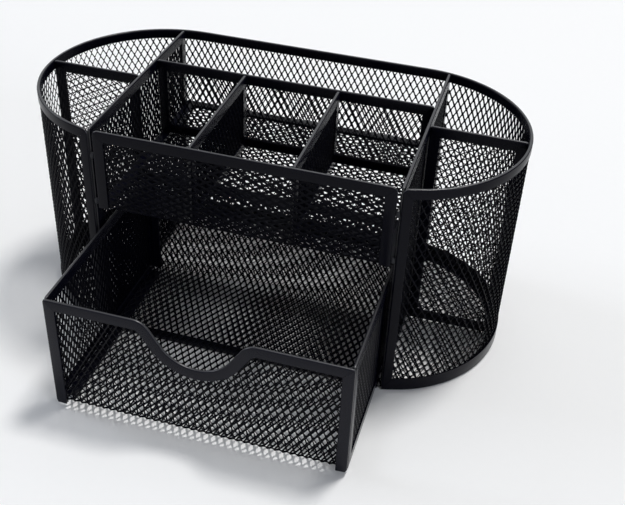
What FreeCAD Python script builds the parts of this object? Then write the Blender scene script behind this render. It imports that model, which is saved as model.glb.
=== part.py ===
import FreeCAD, Part
import math
import os

# Desk organizer with a drawer, in powder-coated steel mesh.
#
# A long rounded (obround) tub stands on the table. Two full-height dividers cut off its rounded ends,
# and a cross divider splits each end into two pen cups. Between them a raised shelf carries a rear
# tray and three small bins, and a drawer slides under the shelf. Every sheet of expanded mesh has its
# cut edges held in a folded strip of plain sheet steel: a channel with the mesh in its slot.
#
# Millimetres. +X is right, -Y is the front (the drawer side), +Z is up. The origin is the centre of
# the tub's footprint on the table. The drawer is drawn half open.

Vec = FreeCAD.Vector
TINY = 1e-6                  # two positions closer than this are the same

# ---- Driving dimensions: tub ----
BODY_LENGTH = 220.0          # over the rounded ends
BODY_DEPTH = 109.0           # front to back
BODY_HEIGHT = 105.6          # table to rim
DIVIDER_X = 66.0             # middle of each full-height divider, from the centre
CROSS_Y = 0.0                # middle of the cross dividers in the end cups
ROW_Y = 17.5                 # middle of the divider between the rear tray and the bins
BIN_X = 22.0                 # middle of each bin divider, from the centre
SHELF_Z = 66.4               # underside of the shelf's edging
POST_EDGE_X = 66.2           # free edge of each front post: the drawer's opening is between them

# ---- Driving dimensions: drawer ----
DRAWER_WIDTH = 128.0
DRAWER_HEIGHT = 55.8
DRAWER_DEPTH = 103.0
DRAWER_Z = 2.0               # underside of the drawer
DRAWER_OPEN = 53.0           # how far it stands open here
SCOOP_DEPTH = 18.9           # finger scoop in the drawer's front
SCOOP_RADIUS = 16.7
SCOOP_SHOULDER = 8.0
SCOOP_SLOPE = math.radians(57.0)

# ---- Driving dimensions: sheet metal ----
MESH = 0.6                   # thickness of the expanded mesh
STRIP = 0.5                  # thickness of the edging sheet
EDGE = 4.8                   # width of a panel's edging
TOP_RIM = 4.4                # height of the rim's edging
BOTTOM_RIM = 7.0             # height of the foot's edging
LEDGE = 3.0                  # how far the foot turns in under the floor
POST_WIDTH = 4.2             # width of a front post
FOLD_BEVEL = 0.4             # bevel where a strip is folded over
CORNER = 2.5                 # radius of a panel's free corner
BEND_RADIUS = 2.0            # inside radius where a mesh sheet turns a corner
PANEL_GAP = 2.0              # beside the front panel, between it and each post
TAB_CLEARANCE = 0.1          # between a weld tab and the pieces beside it
TAB_THICK = 1.0              # weld tab
TAB_HEIGHT = 3.2
TAB_DROPS = (10.5, 33.0)     # tops of the tabs, below the rim

# ---- Driving dimensions: lattice ----
# The steel mesh has diamonds of 3.2 x 6.0 mm. The lattice here keeps their proportions at about
# nine times the size, so that each sheet is as open as the real one, with few enough holes to cut.
PITCH_SHORT = 30.0
PITCH_LONG = 56.2
STRAND = 4.6                 # width of a strand
SOLID_MARGIN = 0.6           # plain border past the edging's lip
SMALLEST_HOLE = 0.2          # smaller clipped holes are left out, as a share of a whole one
STAVES = 6                   # sections of the wall's mesh in each rounded end

# ---- Worked out ----
FOLD = MESH + 2.0 * STRIP                        # thickness of an edged panel
RADIUS = BODY_DEPTH / 2.0                        # outer radius of the rounded ends
INNER = RADIUS - FOLD                            # inner radius of the rim
CENTRE_X = BODY_LENGTH / 2.0 - RADIUS            # centre of each rounded end
MESH_RADIUS = RADIUS - STRIP                     # outer radius of the wall's mesh
POST_ANGLE = math.asin((POST_EDGE_X - CENTRE_X) / RADIUS)
FRONT_Y = -RADIUS * math.cos(POST_ANGLE)         # front plane, at the posts
FLOOR_Z = STRIP                                  # underside of the floor's mesh
FLOOR_TOP = FLOOR_Z + MESH
DIVIDER_FACE = DIVIDER_X - FOLD / 2.0            # inner face of a full-height divider
SHELF_TOP = SHELF_Z + FOLD
PANEL_HALF = POST_EDGE_X - PANEL_GAP             # half the front panel's width
DRAWER_FRONT = FRONT_Y - DRAWER_OPEN
DRAWER_TOP = DRAWER_Z + DRAWER_HEIGHT


class Sheet:
    """A flat sheet's own frame: u across, v up, w through it, and the direction of each in space."""

    def __init__(self, origin, u_dir, v_dir):
        self.origin = Vec(*origin)
        self.u_dir = Vec(*u_dir)
        self.v_dir = Vec(*v_dir)
        self.normal = self.u_dir.cross(self.v_dir)

    def at(self, u, v, w=0.0):
        return self.origin + self.u_dir * u + self.v_dir * v + self.normal * w

    def polygon(self, points, w=0.0):
        corners = [self.at(u, v, w) for u, v in points]
        return Part.Face(Part.makePolygon(corners + corners[:1]))

    def rectangle(self, u0, v0, u1, v1, w=0.0):
        return self.polygon([(u0, v0), (u1, v0), (u1, v1), (u0, v1)], w)

    def prism(self, face, w0, w1):
        """Thicken a face drawn at w = 0 from w0 to w1."""
        raised = face.copy()
        raised.translate(self.normal * w0)
        return raised.extrude(self.normal * (w1 - w0))


def clip(points, axis, limit, keep_above):
    """Cut a convex polygon with one line of constant u (axis 0) or v (axis 1)."""
    sign = 1.0 if keep_above else -1.0
    kept = []
    for here, after in zip(points, points[1:] + points[:1]):
        a = sign * (here[axis] - limit)
        b = sign * (after[axis] - limit)
        if a >= 0.0:
            kept.append(here)
        if a * b < 0.0:
            t = a / (a - b)
            kept.append(tuple(h + t * (k - h) for h, k in zip(here, after)))
    return kept


def area(points):
    pairs = zip(points, points[1:] + points[:1])
    return abs(sum(a[0] * b[1] - b[0] * a[1] for a, b in pairs)) / 2.0


def diamonds(u0, v0, u1, v1, long_along_u=False):
    """The lattice's holes in a window, centred in it and clipped to it, as lists of (u, v)."""
    pitch_u, pitch_v = (PITCH_LONG, PITCH_SHORT) if long_along_u else (PITCH_SHORT, PITCH_LONG)
    # A strand's width shortens both half diagonals in proportion.
    slant = math.hypot(pitch_u, pitch_v)
    shrink = 1.0 - STRAND * slant / (pitch_u * pitch_v)
    half_u = pitch_u / 2.0 * shrink
    half_v = pitch_v / 2.0 * shrink
    centre_u = (u0 + u1) / 2.0
    centre_v = (v0 + v1) / 2.0
    columns = int((u1 - u0) / pitch_u) + 2
    rows = int((v1 - v0) / pitch_v) + 2
    whole = 2.0 * half_u * half_v
    holes = []
    for i in range(-columns, columns + 1):
        for j in range(-rows, rows + 1):
            if (i + j) % 2:
                continue
            u = centre_u + i * pitch_u / 2.0
            v = centre_v + j * pitch_v / 2.0
            hole = [(u + half_u, v), (u, v + half_v), (u - half_u, v), (u, v - half_v)]
            for axis, limit, above in ((0, u0, True), (0, u1, False), (1, v0, True), (1, v1, False)):
                hole = clip(hole, axis, limit, above)
            if len(hole) > 2 and area(hole) > SMALLEST_HOLE * whole:
                holes.append(hole)
    return holes


def pierce(sheet, outline, window, long_along_u=False, bounds=None):
    """Cut the lattice out of a sheet's outline face, inside a rectangular window.

    bounds, if given, is a face that the holes are also kept inside.
    """
    holes = [sheet.polygon(hole) for hole in diamonds(*window, long_along_u)]
    if bounds is not None:
        inside = [hole.common(bounds) for hole in holes]
        smallest = SMALLEST_HOLE * max(hole.Area for hole in holes)
        holes = [hole for hole in inside if hole.Area > smallest]
    return outline.cut(Part.makeCompound(holes))


def soften(solid, picks):
    """Bevel the edges that a test picks out, where a strip is folded over."""
    return solid.makeChamfer(FOLD_BEVEL, [edge for edge in solid.Edges if picks(edge)])


def outer_fold(sheet, u_sides, v_sides):
    """A test for the edges of a panel's outline, on both faces, where its strip is folded over.

    u_sides and v_sides are the sides of the panel that have a strip.
    """
    def picks(edge):
        middle = edge.valueAt((edge.FirstParameter + edge.LastParameter) / 2.0) - sheet.origin
        u = middle.dot(sheet.u_dir)
        v = middle.dot(sheet.v_dir)
        w = middle.dot(sheet.normal)
        on_face = min(abs(w), abs(w - FOLD)) < TINY
        on_u_side = any(abs(u - side) < TINY for side in u_sides)
        on_v_side = any(abs(v - side) < TINY for side in v_sides)
        return on_face and (on_u_side or on_v_side)
    return picks


def edged_panel(sheet, u0, v0, u1, v1, long_along_u=False, trim=None):
    """A rectangular mesh panel edged on all four sides: its mesh and its frame.

    trim, if given, is a solid that both are kept inside, where an end meets the curved wall.
    """
    lip = EDGE + SOLID_MARGIN
    outline = sheet.rectangle(u0 + STRIP, v0 + STRIP, u1 - STRIP, v1 - STRIP)
    window = (u0 + lip, v0 + lip, u1 - lip, v1 - lip)
    mesh = sheet.prism(pierce(sheet, outline, window, long_along_u), STRIP, STRIP + MESH)
    ring = sheet.rectangle(u0, v0, u1, v1).cut(sheet.rectangle(u0 + EDGE, v0 + EDGE, u1 - EDGE, v1 - EDGE))
    frame = soften(sheet.prism(ring, 0.0, FOLD), outer_fold(sheet, (u0, u1), (v0, v1)))
    frame = frame.cut(sheet.prism(outline, STRIP, STRIP + MESH))
    if trim is not None:
        mesh = mesh.common(trim)
        frame = frame.common(trim)
    return mesh, frame


# ---- The tub's outline ----

def obround(radius, z0, z1):
    """A solid with the tub's plan at a given end radius."""
    straight = Part.makeBox(2.0 * CENTRE_X, 2.0 * radius, z1 - z0, Vec(-CENTRE_X, -radius, z0))
    ends = [Part.makeCylinder(radius, z1 - z0, Vec(side * CENTRE_X, 0.0, z0)) for side in (-1, 1)]
    return straight.fuse(ends).removeSplitter()


def profile_face(points):
    """A wall section: (distance inward from the outer face, height), drawn behind the centre."""
    corners = [Vec(0.0, RADIUS - inward, z) for inward, z in points]
    return Part.Face(Part.makePolygon(corners + corners[:1]))


def around_end(face, side):
    """Sweep a wall section round one end, from the rear wall to the post's free edge."""
    centre = Vec(side * CENTRE_X, 0.0, 0.0)
    placed = face.copy()
    placed.translate(centre)
    turn = math.degrees(math.pi - POST_ANGLE)
    return placed.revolve(centre, Vec(0.0, 0.0, 1.0), -side * turn)


def along_rear(face):
    placed = face.copy()
    placed.translate(Vec(-CENTRE_X, 0.0, 0.0))
    return placed.extrude(Vec(2.0 * CENTRE_X, 0.0, 0.0))


def around_tub(face):
    """Sweep a wall section round the tub from post to post."""
    rear = along_rear(face)
    return rear.fuse([around_end(face, -1), around_end(face, 1)]).removeSplitter()


def post_sheet(side):
    """The frame of a front post: u runs from its free edge along the wall, v up, w outward."""
    middle = POST_ANGLE + POST_WIDTH / RADIUS / 2.0
    outward = Vec(side * math.sin(middle), -math.cos(middle), 0.0)
    along = Vec(side * math.cos(middle), math.sin(middle), 0.0)
    centre = Vec(side * CENTRE_X, 0.0, 0.0) + outward * RADIUS
    edge = centre - along * (POST_WIDTH / 2.0)
    sheet = Sheet(tuple(edge), tuple(along), (0.0, 0.0, 1.0))
    sheet.normal = outward
    return sheet


def post_cutter(side):
    """A prism through the wall with the post's outline: upright, with a mitre at each end."""
    sheet = post_sheet(side)
    beyond = 2.0 * FOLD
    outline = [(-beyond, -beyond * BOTTOM_RIM / POST_WIDTH), (POST_WIDTH, BOTTOM_RIM),
               (POST_WIDTH, BODY_HEIGHT - TOP_RIM), (-beyond, BODY_HEIGHT + beyond * TOP_RIM / POST_WIDTH)]
    return sheet.prism(sheet.polygon(outline), -LEDGE - FOLD - beyond, beyond)


def corner_nicks(side):
    """What rounds the wall's free corners at the top of a post."""
    sheet = post_sheet(side)
    square = sheet.rectangle(-CORNER, BODY_HEIGHT - CORNER, CORNER, BODY_HEIGHT + CORNER)
    block = sheet.prism(square, -2.0 * FOLD, FOLD)
    axis = sheet.at(CORNER, BODY_HEIGHT - CORNER, -3.0 * FOLD)
    return block.cut(Part.makeCylinder(CORNER, 5.0 * FOLD, axis, sheet.normal))


def make_rims():
    """The top and bottom rims: folded strips that hold the wall's mesh, mitred at the posts."""
    top = BODY_HEIGHT
    low = top - TOP_RIM
    top_section = profile_face([
        (0.0, low), (STRIP, low), (STRIP, top - STRIP), (FOLD - STRIP, top - STRIP),
        (FOLD - STRIP, low), (FOLD, low), (FOLD, top), (0.0, top)])
    bottom_section = profile_face([
        (0.0, 0.0), (FOLD + LEDGE, 0.0), (FOLD + LEDGE, STRIP), (STRIP, STRIP),
        (STRIP, BOTTOM_RIM), (0.0, BOTTOM_RIM)])
    posts = [post_cutter(side) for side in (-1, 1)]
    nicks = [corner_nicks(side) for side in (-1, 1)]
    top_rim = around_tub(top_section).cut(Part.makeCompound(posts)).cut(Part.makeCompound(nicks))
    # The foot keeps its ledge under the post, so only its upright legs are mitred.
    legs = obround(RADIUS + 1.0, STRIP, BOTTOM_RIM + 1.0)
    mitres = [post.common(legs) for post in posts]
    bottom_rim = around_tub(bottom_section).cut(Part.makeCompound(mitres))
    return {"top_rim": top_rim, "bottom_rim": bottom_rim}


def make_post(side):
    """A front post: the strip folded over the upright edge of the wall's mesh."""
    strip_angle = STRIP / RADIUS
    band = profile_face([(0.0, STRIP), (FOLD, STRIP), (FOLD, BODY_HEIGHT), (0.0, BODY_HEIGHT)])
    slot = profile_face([(STRIP, 0.0), (FOLD - STRIP, 0.0), (FOLD - STRIP, BODY_HEIGHT + 1.0),
                         (STRIP, BODY_HEIGHT + 1.0)])
    slot_ring = around_end(slot, side)
    # The slot starts one sheet's thickness in from the free edge.
    slot_ring.rotate(Vec(side * CENTRE_X, 0.0, 0.0), Vec(0.0, 0.0, 1.0), side * math.degrees(strip_angle))
    post = around_end(band, side).cut(slot_ring).common(post_cutter(side))
    return post.cut(corner_nicks(side))


def make_wall_end(side):
    """The wall's mesh round one end, from the rear wall's tangent line to the post, in staves.

    The staves meet edge to edge. A bent sheet can't be one convex piece for a simulation, and each
    stave nearly is.
    """
    centre = Vec(side * CENTRE_X, 0.0, 0.0)
    up = Vec(0.0, 0.0, 1.0)
    low = STRIP
    high = BODY_HEIGHT - STRIP
    middle = RADIUS - FOLD / 2.0
    start = POST_ANGLE + STRIP / RADIUS
    lattice_start = POST_ANGLE + (POST_WIDTH + SOLID_MARGIN) / RADIUS
    window = (lattice_start * middle, BOTTOM_RIM + SOLID_MARGIN, (math.pi - SOLID_MARGIN / middle) * middle,
              BODY_HEIGHT - TOP_RIM - SOLID_MARGIN)
    cutters = []
    for hole in diamonds(*window):
        angle = sum(u for u, _ in hole) / len(hole) / middle
        outward = Vec(side * math.sin(angle), -math.cos(angle), 0.0)
        along = Vec(side * math.cos(angle), math.sin(angle), 0.0)
        flat = Sheet(tuple(centre + outward * middle), tuple(along), (0.0, 0.0, 1.0))
        flat.normal = outward
        face = flat.polygon([(u - angle * middle, v) for u, v in hole])
        cutters.append(flat.prism(face, -FOLD, FOLD))
    section = Part.Face(Part.makePolygon([
        Vec(0.0, inward - RADIUS, z) + centre
        for inward, z in ((STRIP, low), (FOLD - STRIP, low), (FOLD - STRIP, high), (STRIP, high),
                          (STRIP, low))]))
    turn = math.degrees(math.pi - start) / STAVES
    staves = []
    for k in range(STAVES):
        edge = section.copy()
        edge.rotate(centre, up, side * (math.degrees(start) + k * turn))
        staves.append(edge.revolve(centre, up, side * turn).cut(Part.makeCompound(cutters)))
    return staves


def make_wall():
    """The wall's mesh: one sheet from post to post, round both ends and along the rear."""
    sheet = Sheet((0.0, MESH_RADIUS, 0.0), (1.0, 0.0, 0.0), (0.0, 0.0, 1.0))
    outline = sheet.rectangle(-CENTRE_X, STRIP, CENTRE_X, BODY_HEIGHT - STRIP)
    window = (-CENTRE_X + SOLID_MARGIN, BOTTOM_RIM + SOLID_MARGIN, CENTRE_X - SOLID_MARGIN,
              BODY_HEIGHT - TOP_RIM - SOLID_MARGIN)
    rear = sheet.prism(pierce(sheet, outline, window), 0.0, MESH)
    return {"wall_mesh": Part.makeCompound(make_wall_end(-1) + [rear] + make_wall_end(1))}


def make_floor():
    """The floor's mesh on the foot's ledge, and the hem on its edge under the drawer."""
    sheet = Sheet((0.0, 0.0, FLOOR_Z), (1.0, 0.0, 0.0), (0.0, 1.0, 0.0))
    hem_half = PANEL_HALF - TAB_CLEARANCE
    plate_front = FRONT_Y + STRIP
    plate = obround(INNER, FLOOR_Z, FLOOR_TOP)
    in_front = Part.makeBox(2.0 * hem_half, RADIUS, MESH, Vec(-hem_half, plate_front - RADIUS, FLOOR_Z))
    tongue = Part.makeBox(2.0 * hem_half, -plate_front, MESH, Vec(-hem_half, plate_front, FLOOR_Z))
    plate = plate.cut(in_front).fuse(tongue).removeSplitter()
    open_ledge = obround(INNER - LEDGE - SOLID_MARGIN, FLOOR_Z, FLOOR_TOP)
    reach = BODY_LENGTH / 2.0
    window = (-reach, FRONT_Y + EDGE + SOLID_MARGIN, reach, RADIUS)
    holes = [sheet.prism(sheet.polygon(hole), 0.0, MESH) for hole in diamonds(*window)]
    smallest = SMALLEST_HOLE * max(hole.Volume for hole in holes)
    holes = [hole.common(open_ledge) for hole in holes]
    mesh = plate.cut(Part.makeCompound([hole for hole in holes if hole.Volume > smallest]))
    hem = Part.makeBox(2.0 * hem_half, EDGE, FOLD, Vec(-hem_half, FRONT_Y, 0.0))
    slot = Part.makeBox(2.0 * hem_half, EDGE, MESH, Vec(-hem_half, plate_front, FLOOR_Z))
    return {"floor_mesh": mesh, "floor_front_hem": hem.cut(slot)}


# ---- Inside the tub ----

def make_dividers():
    """The full-height dividers and the cross dividers in the end cups, trimmed to the wall."""
    nodes = {}
    room = obround(INNER, 0.0, BODY_HEIGHT + 1.0)
    for side, name in ((-1, "left"), (1, "right")):
        sheet = Sheet((side * DIVIDER_X - FOLD / 2.0, 0.0, 0.0), (0.0, 1.0, 0.0), (0.0, 0.0, 1.0))
        end = math.sqrt(INNER ** 2 - (DIVIDER_FACE - CENTRE_X) ** 2)
        mesh, frame = edged_panel(sheet, -end, FLOOR_TOP, end, BODY_HEIGHT, trim=room)
        nodes[name + "_divider_mesh"] = mesh
        nodes[name + "_divider_frame"] = frame
        near = DIVIDER_X + FOLD / 2.0
        far = CENTRE_X + INNER
        sheet = Sheet((0.0, CROSS_Y + FOLD / 2.0, 0.0), (1.0, 0.0, 0.0), (0.0, 0.0, 1.0))
        u0, u1 = (near, far) if side > 0 else (-far, -near)
        mesh, frame = edged_panel(sheet, u0, FLOOR_TOP, u1, BODY_HEIGHT, trim=room)
        nodes[name + "_cross_mesh"] = mesh
        nodes[name + "_cross_frame"] = frame
    return nodes


def make_shelf():
    """The shelf over the drawer: its mesh turns up at the front into the front panel."""
    sheet = Sheet((0.0, 0.0, SHELF_Z), (1.0, 0.0, 0.0), (0.0, 1.0, 0.0))
    front = FRONT_Y + STRIP + MESH + BEND_RADIUS
    rear = math.sqrt(INNER ** 2 - (DIVIDER_FACE - CENTRE_X) ** 2)
    half = DIVIDER_FACE
    outline = sheet.rectangle(-half + STRIP, front, half - STRIP, rear - STRIP)
    lip = EDGE + SOLID_MARGIN
    window = (-half + lip, front + SOLID_MARGIN, half - lip, rear - lip)
    mesh = sheet.prism(pierce(sheet, outline, window), STRIP, STRIP + MESH)
    blank = sheet.rectangle(-half, FRONT_Y + FOLD + BEND_RADIUS, half, rear)
    inside = sheet.rectangle(-half + EDGE, FRONT_Y, half - EDGE, rear - EDGE)
    frame = sheet.prism(blank.cut(inside), 0.0, FOLD)
    frame = soften(frame, outer_fold(sheet, (-half, half), (rear,)))
    frame = frame.cut(sheet.prism(outline, STRIP, STRIP + MESH))
    return {"shelf_mesh": mesh, "shelf_frame": frame}


def bent_lip(sheet_front, z_low, half, toward):
    """The quarter round where an upright mesh sheet turns into a level one.

    sheet_front is the upright sheet's outer face, z_low the level sheet's underside and toward the
    direction in Y from the upright sheet to the level one.
    """
    axis_y = sheet_front + toward * (MESH + BEND_RADIUS)
    axis_z = z_low + MESH + BEND_RADIUS
    outer = Part.makeCylinder(MESH + BEND_RADIUS, 2.0 * half, Vec(-half, axis_y, axis_z), Vec(1.0, 0.0, 0.0))
    inner = Part.makeCylinder(BEND_RADIUS, 2.0 * half, Vec(-half, axis_y, axis_z), Vec(1.0, 0.0, 0.0))
    reach = MESH + BEND_RADIUS
    low_y = axis_y - reach if toward > 0 else axis_y
    corner = Part.makeBox(2.0 * half, reach, reach, Vec(-half, low_y, axis_z - reach))
    return outer.cut(inner).common(corner)


def make_front_panel():
    """The front of the bins: mesh turned down into the shelf, edged at the top and the sides."""
    sheet = Sheet((0.0, FRONT_Y + FOLD, 0.0), (1.0, 0.0, 0.0), (0.0, 0.0, 1.0))
    half = PANEL_HALF
    bend_top = SHELF_Z + STRIP + MESH + BEND_RADIUS
    outline = sheet.rectangle(-half + STRIP, bend_top, half - STRIP, BODY_HEIGHT - STRIP)
    window = (-half + EDGE + SOLID_MARGIN, bend_top, half - EDGE - SOLID_MARGIN,
              BODY_HEIGHT - EDGE - SOLID_MARGIN)
    mesh = sheet.prism(pierce(sheet, outline, window), STRIP, STRIP + MESH)
    lip = bent_lip(FRONT_Y + STRIP, SHELF_Z + STRIP, half - EDGE, 1.0)
    mesh = mesh.fuse(lip).removeSplitter()
    low = SHELF_TOP
    blank = sheet.rectangle(-half, low, half, BODY_HEIGHT)
    inside = sheet.rectangle(-half + EDGE, low - 1.0, half - EDGE, BODY_HEIGHT - EDGE)
    frame = sheet.prism(blank.cut(inside), 0.0, FOLD)
    frame = round_top_corners(frame, half, BODY_HEIGHT)
    mesh = round_top_corners(mesh, half - STRIP, BODY_HEIGHT - STRIP)
    frame = soften(frame, outer_fold(sheet, (-half, half), (BODY_HEIGHT,)))
    frame = frame.cut(sheet.prism(outline, STRIP, STRIP + MESH))
    return {"front_panel_mesh": mesh, "front_panel_frame": frame}


def round_top_corners(solid, half, top):
    """Round the free upper corners of an upright panel in the front plane."""
    def picks(edge):
        if edge.Curve.TypeId != "Part::GeomLine" or len(edge.Vertexes) != 2:
            return False
        a, b = (vertex.Point for vertex in edge.Vertexes)
        through = abs(a.y - b.y) > TINY
        return through and all(abs(abs(p.x) - half) < TINY and abs(p.z - top) < TINY for p in (a, b))
    return solid.makeFillet(CORNER, [edge for edge in solid.Edges if picks(edge)])


def make_tabs():
    """Weld tabs in the gap beside the front panel, from its fold to the post's free edge, two a side."""
    inner = PANEL_HALF + TAB_CLEARANCE
    front = FRONT_Y + (FOLD - TAB_THICK) / 2.0
    # The post's free edge is square to the curved wall, so the gap is narrowest at the tab's rear.
    outer = CENTRE_X - (front + TAB_THICK) * math.tan(POST_ANGLE) - TAB_CLEARANCE
    tabs = []
    for side in (-1, 1):
        left = inner if side > 0 else -outer
        for drop in TAB_DROPS:
            corner = Vec(left, front, BODY_HEIGHT - drop - TAB_HEIGHT)
            tabs.append(Part.makeBox(outer - inner, TAB_THICK, TAB_HEIGHT, corner))
    return {"front_panel_tabs": Part.makeCompound(tabs)}


def make_bins():
    """The divider in front of the rear tray and the two between the bins, standing on the shelf."""
    nodes = {}
    half = DIVIDER_FACE
    sheet = Sheet((0.0, ROW_Y + FOLD / 2.0, 0.0), (1.0, 0.0, 0.0), (0.0, 0.0, 1.0))
    mesh, frame = edged_panel(sheet, -half, SHELF_TOP, half, BODY_HEIGHT)
    nodes["row_divider_mesh"] = mesh
    nodes["row_divider_frame"] = frame
    for side, name in ((-1, "left"), (1, "right")):
        sheet = Sheet((side * BIN_X - FOLD / 2.0, 0.0, 0.0), (0.0, 1.0, 0.0), (0.0, 0.0, 1.0))
        mesh, frame = edged_panel(sheet, FRONT_Y + FOLD, SHELF_TOP, ROW_Y - FOLD / 2.0, BODY_HEIGHT)
        nodes[name + "_bin_mesh"] = mesh
        nodes[name + "_bin_frame"] = frame
    return nodes


# ---- The drawer ----

def scoop_edges(sheet, offset, half, top):
    """The front's upper edge from left to right, offset down into the panel: a list of edges."""
    low_radius = SCOOP_RADIUS + offset
    shoulder = SCOOP_SHOULDER - offset
    sine = math.sin(SCOOP_SLOPE)
    cosine = math.cos(SCOOP_SLOPE)
    top_v = top - offset
    low_v = top - SCOOP_DEPTH - offset
    low_u = low_radius * sine
    low_end_v = low_v + low_radius * (1.0 - cosine)
    high_v = top_v - shoulder * (1.0 - cosine)
    high_u = low_u + (high_v - low_end_v) / math.tan(SCOOP_SLOPE)
    end_u = high_u + shoulder * sine
    bow_u = high_u + shoulder * (sine - math.sin(SCOOP_SLOPE / 2.0))
    bow_v = top_v - shoulder * (1.0 - math.cos(SCOOP_SLOPE / 2.0))

    def line(a, b):
        return Part.LineSegment(sheet.at(*a), sheet.at(*b)).toShape()

    def arc(a, b, c):
        return Part.Arc(sheet.at(*a), sheet.at(*b), sheet.at(*c)).toShape()

    return [
        line((-half, top_v), (-end_u, top_v)),
        arc((-end_u, top_v), (-bow_u, bow_v), (-high_u, high_v)),
        line((-high_u, high_v), (-low_u, low_end_v)),
        arc((-low_u, low_end_v), (0.0, low_v), (low_u, low_end_v)),
        line((low_u, low_end_v), (high_u, high_v)),
        arc((high_u, high_v), (bow_u, bow_v), (end_u, top_v)),
        line((end_u, top_v), (half, top_v)),
    ]


def scooped_face(sheet, offset, half, low, top):
    """An upright face with the finger scoop in its upper edge."""
    edges = scoop_edges(sheet, offset, half, top)
    right = sheet.at(half, top - offset)
    left = sheet.at(-half, top - offset)
    edges.append(Part.LineSegment(right, sheet.at(half, low)).toShape())
    edges.append(Part.LineSegment(sheet.at(half, low), sheet.at(-half, low)).toShape())
    edges.append(Part.LineSegment(sheet.at(-half, low), left).toShape())
    return Part.Face(Part.Wire(edges))


def make_drawer_front():
    """The drawer's front: a strip follows the scoop and runs down both sides of the mesh."""
    sheet = Sheet((0.0, DRAWER_FRONT + FOLD, 0.0), (1.0, 0.0, 0.0), (0.0, 0.0, 1.0))
    half = DRAWER_WIDTH / 2.0
    floor_low = DRAWER_Z + STRIP
    bend_top = floor_low + MESH + BEND_RADIUS
    outline = scooped_face(sheet, STRIP, half - STRIP, bend_top, DRAWER_TOP)
    lip = EDGE + SOLID_MARGIN
    window = (-half + lip, bend_top, half - lip, DRAWER_TOP - lip)
    bounds = scooped_face(sheet, lip, half - lip, bend_top, DRAWER_TOP)
    mesh = sheet.prism(pierce(sheet, outline, window, bounds=bounds), STRIP, STRIP + MESH)
    bend = bent_lip(DRAWER_FRONT + STRIP, floor_low, half - EDGE, 1.0)
    mesh = mesh.fuse(bend).removeSplitter()
    blank = scooped_face(sheet, 0.0, half, DRAWER_Z, DRAWER_TOP)
    inside = scooped_face(sheet, EDGE, half - EDGE, DRAWER_Z - 1.0, DRAWER_TOP)
    frame = sheet.prism(blank.cut(inside), 0.0, FOLD)
    frame = frame.cut(sheet.prism(outline, STRIP, STRIP + MESH))
    return {"drawer_front_mesh": mesh, "drawer_front_frame": frame}


def make_drawer_back():
    """The drawer's back: straight along the top, edged at the top and the sides."""
    back = DRAWER_FRONT + DRAWER_DEPTH
    sheet = Sheet((0.0, back, 0.0), (1.0, 0.0, 0.0), (0.0, 0.0, 1.0))
    half = DRAWER_WIDTH / 2.0
    floor_low = DRAWER_Z + STRIP
    bend_top = floor_low + MESH + BEND_RADIUS
    outline = sheet.rectangle(-half + STRIP, bend_top, half - STRIP, DRAWER_TOP - STRIP)
    lip = EDGE + SOLID_MARGIN
    window = (-half + lip, bend_top, half - lip, DRAWER_TOP - lip)
    mesh = sheet.prism(pierce(sheet, outline, window), STRIP, STRIP + MESH)
    bend = bent_lip(back - STRIP, floor_low, half - EDGE, -1.0)
    mesh = mesh.fuse(bend).removeSplitter()
    blank = sheet.rectangle(-half, DRAWER_Z, half, DRAWER_TOP)
    inside = sheet.rectangle(-half + EDGE, DRAWER_Z - 1.0, half - EDGE, DRAWER_TOP - EDGE)
    frame = sheet.prism(blank.cut(inside), 0.0, FOLD)
    frame = soften(frame, outer_fold(sheet, (-half, half), (DRAWER_TOP,)))
    frame = frame.cut(sheet.prism(outline, STRIP, STRIP + MESH))
    return {"drawer_back_mesh": mesh, "drawer_back_frame": frame}


def make_drawer_floor():
    """The drawer's floor, one sheet with the front and the back, held by the sides' lower strips."""
    sheet = Sheet((0.0, 0.0, DRAWER_Z), (1.0, 0.0, 0.0), (0.0, 1.0, 0.0))
    bend_reach = STRIP + MESH + BEND_RADIUS
    front = DRAWER_FRONT + bend_reach
    back = DRAWER_FRONT + DRAWER_DEPTH - bend_reach
    half = DRAWER_WIDTH / 2.0 - FOLD
    outline = sheet.rectangle(-half, front, half, back)
    lip = EDGE + SOLID_MARGIN
    window = (-half + lip, front, half - lip, back)
    return {"drawer_floor_mesh": sheet.prism(pierce(sheet, outline, window), STRIP, STRIP + MESH)}


def make_drawer_sides():
    """The drawer's sides, each edged all round, with a foot turned in under the floor's edge."""
    nodes = {}
    front = DRAWER_FRONT + FOLD
    back = DRAWER_FRONT + DRAWER_DEPTH - FOLD
    for side, name in ((-1, "left"), (1, "right")):
        outer = side * DRAWER_WIDTH / 2.0
        face = outer if side < 0 else outer - FOLD
        sheet = Sheet((face, 0.0, 0.0), (0.0, 1.0, 0.0), (0.0, 0.0, 1.0))
        mesh, frame = edged_panel(sheet, front, DRAWER_Z, back, DRAWER_TOP)
        inner = outer - side * FOLD
        corner_x = inner if side < 0 else inner - EDGE
        corner = Vec(corner_x, front + BEND_RADIUS, DRAWER_Z)
        foot = Part.makeBox(EDGE, back - front - 2.0 * BEND_RADIUS, STRIP, corner)
        nodes["drawer_" + name + "_mesh"] = mesh
        nodes["drawer_" + name + "_frame"] = frame.fuse(foot).removeSplitter()
    return nodes


def main():
    nodes = {"front_post_left": make_post(-1), "front_post_right": make_post(1)}
    builders = (make_wall, make_rims, make_floor, make_dividers, make_shelf, make_front_panel, make_tabs,
                make_bins, make_drawer_front, make_drawer_back, make_drawer_floor, make_drawer_sides)
    for build in builders:
        nodes.update(build())
    os.makedirs("parts", exist_ok=True)
    for name, shape in nodes.items():
        if not shape.isValid() or not shape.Solids:
            print("faulty:", name)
        shape.exportStep("parts/" + name + ".step")
        print(f"{name}: {len(shape.Solids)} solid(s), {shape.Volume:.0f} mm3")


main()
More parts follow.
